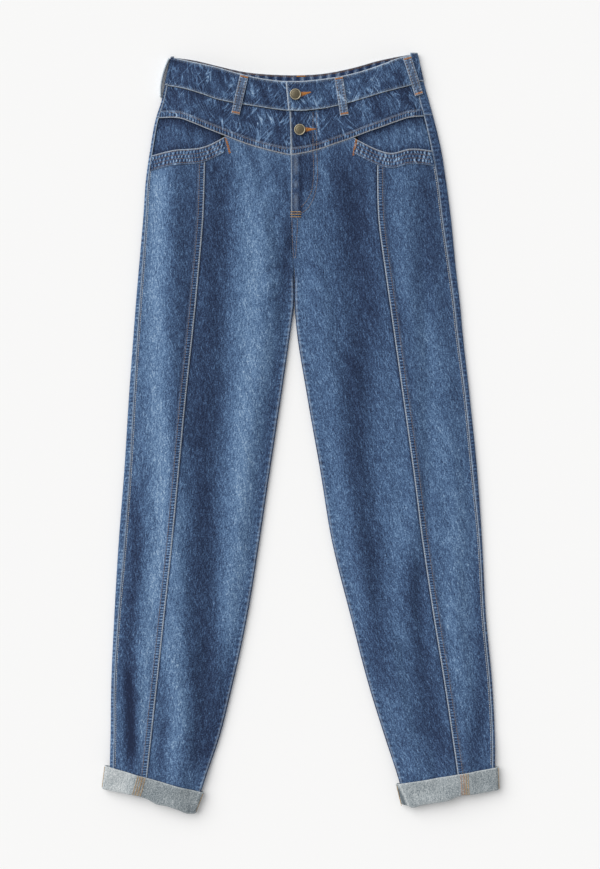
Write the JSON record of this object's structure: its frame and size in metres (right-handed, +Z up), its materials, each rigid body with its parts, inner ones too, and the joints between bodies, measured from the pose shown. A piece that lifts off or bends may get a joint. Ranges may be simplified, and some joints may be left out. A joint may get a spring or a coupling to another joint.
{
  "type": "mom jeans",
  "caption": "High-waisted denim trousers with a pointed front yoke, curved pocket openings, panelled tapered legs and rolled cuffs, laid flat on their back.",
  "frame": {"origin": "on the surface it lies on, below the middle of the garment's bounding box", "axes": "+X towards the wearer's left leg, +Y from the hems to the waist, +Z up out of the front"},
  "size_m": [0.5462, 1.0426, 0.0255],
  "materials": {
    "washed_denim": "stone-washed indigo twill with pale worn edges",
    "denim_wrong_side": "pale weft side of the same twill",
    "topstitch_thread": "twisted topstitching thread, tan to orange",
    "antique_brass": "darkened, rubbed bright on raised edges"
  },
  "bodies": {
    "root": {"waistband_front_left": "washed_denim", "waistband_front_right": "washed_denim", "waistband_back": "washed_denim", "front_yoke_left": "washed_denim", "front_yoke_right": "washed_denim", "back_yoke_left": "washed_denim", "back_yoke_right": "washed_denim", "front_centre_left": "washed_denim", "front_centre_right": "washed_denim", "front_side_left": "washed_denim", "front_side_right": "washed_denim", "back_left": "washed_denim", "back_right": "washed_denim", "pocket_facing_left": "washed_denim", "pocket_facing_right": "washed_denim", "pocket_band_left": "washed_denim", "pocket_band_right": "washed_denim", "cuff_left": "denim_wrong_side", "cuff_right": "denim_wrong_side", "belt_loop_front_left": "washed_denim", "belt_loop_front_right": "washed_denim", "belt_loop_side_left": "washed_denim", "belt_loop_side_right": "washed_denim", "button_waistband": "antique_brass", "button_yoke": "antique_brass"}
  },
  "joints": []
}
